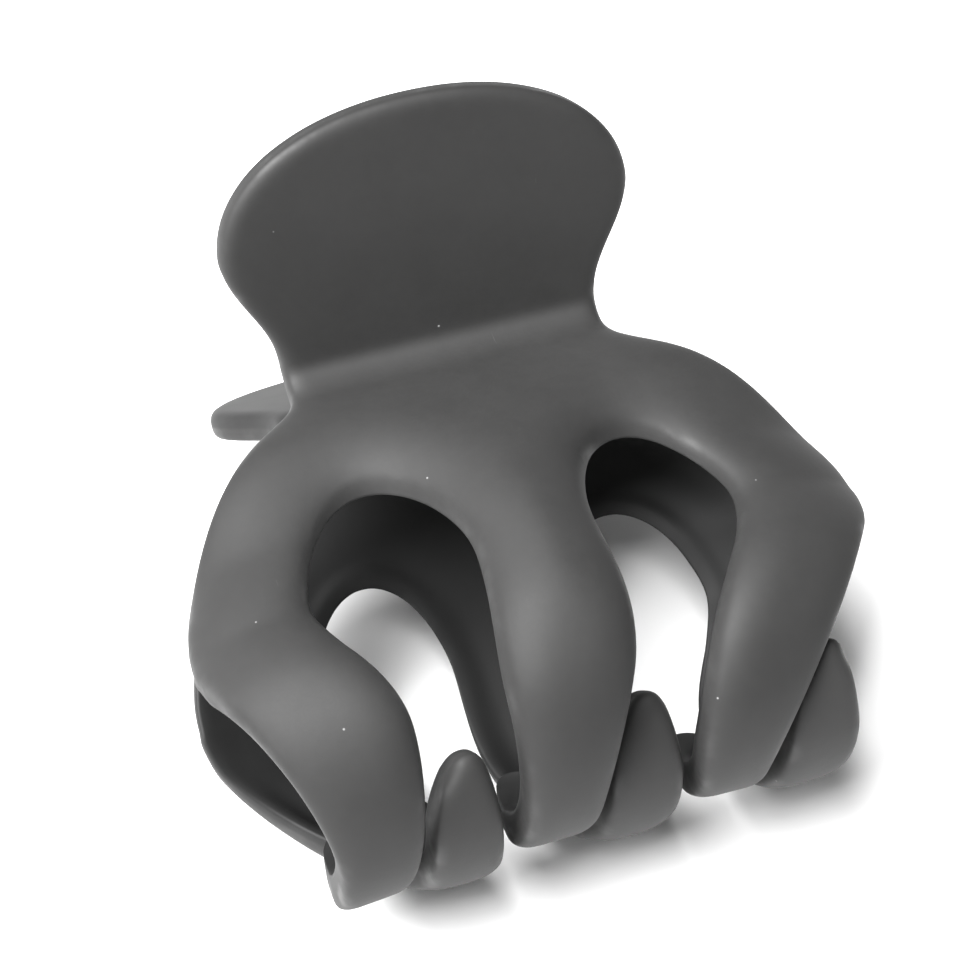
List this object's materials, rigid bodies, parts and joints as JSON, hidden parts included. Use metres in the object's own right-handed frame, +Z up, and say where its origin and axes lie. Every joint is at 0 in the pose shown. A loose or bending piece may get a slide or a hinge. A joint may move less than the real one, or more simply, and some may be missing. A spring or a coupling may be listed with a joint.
{
  "type": "claw clip",
  "caption": "Spring-loaded claw clip for hair: two domed jaws with curled, interleaving fingers and flat thumb plates, on a steel hinge pin.",
  "frame": {"origin": "middle of the footprint, on the surface that the clip lies on", "axes": "+X along the hinge pin, +Y from the claws towards the thumb plates, +Z up; the clip lies on its lower jaw, resting on the lower plate's free edge and the lower claws, with the jaws closed"},
  "size_m": [0.0412, 0.0444, 0.0341],
  "materials": {
    "jaw_plastic": "soft-touch matte outside, plain moulded gloss inside",
    "pin_steel": "drawn, satin",
    "spring_wire": "drawn spring wire, lightly oiled"
  },
  "bodies": {
    "lower_jaw": {"lower_jaw": "jaw_plastic", "hinge_pin": "pin_steel", "torsion_spring": "spring_wire"},
    "upper_jaw": {"upper_jaw": "jaw_plastic"}
  },
  "joints": [
    {"name": "jaw_hinge", "type": "hinge", "parent": "lower_jaw", "child": "upper_jaw", "pos_m": [0, 0.01525, 0.01667], "axis": [-1, 0, 0], "range_deg": [0, 105], "stiffness_Nm_per_rad": 0.012, "springref_deg": -51.57, "deforming": ["torsion_spring"]}
  ]
}
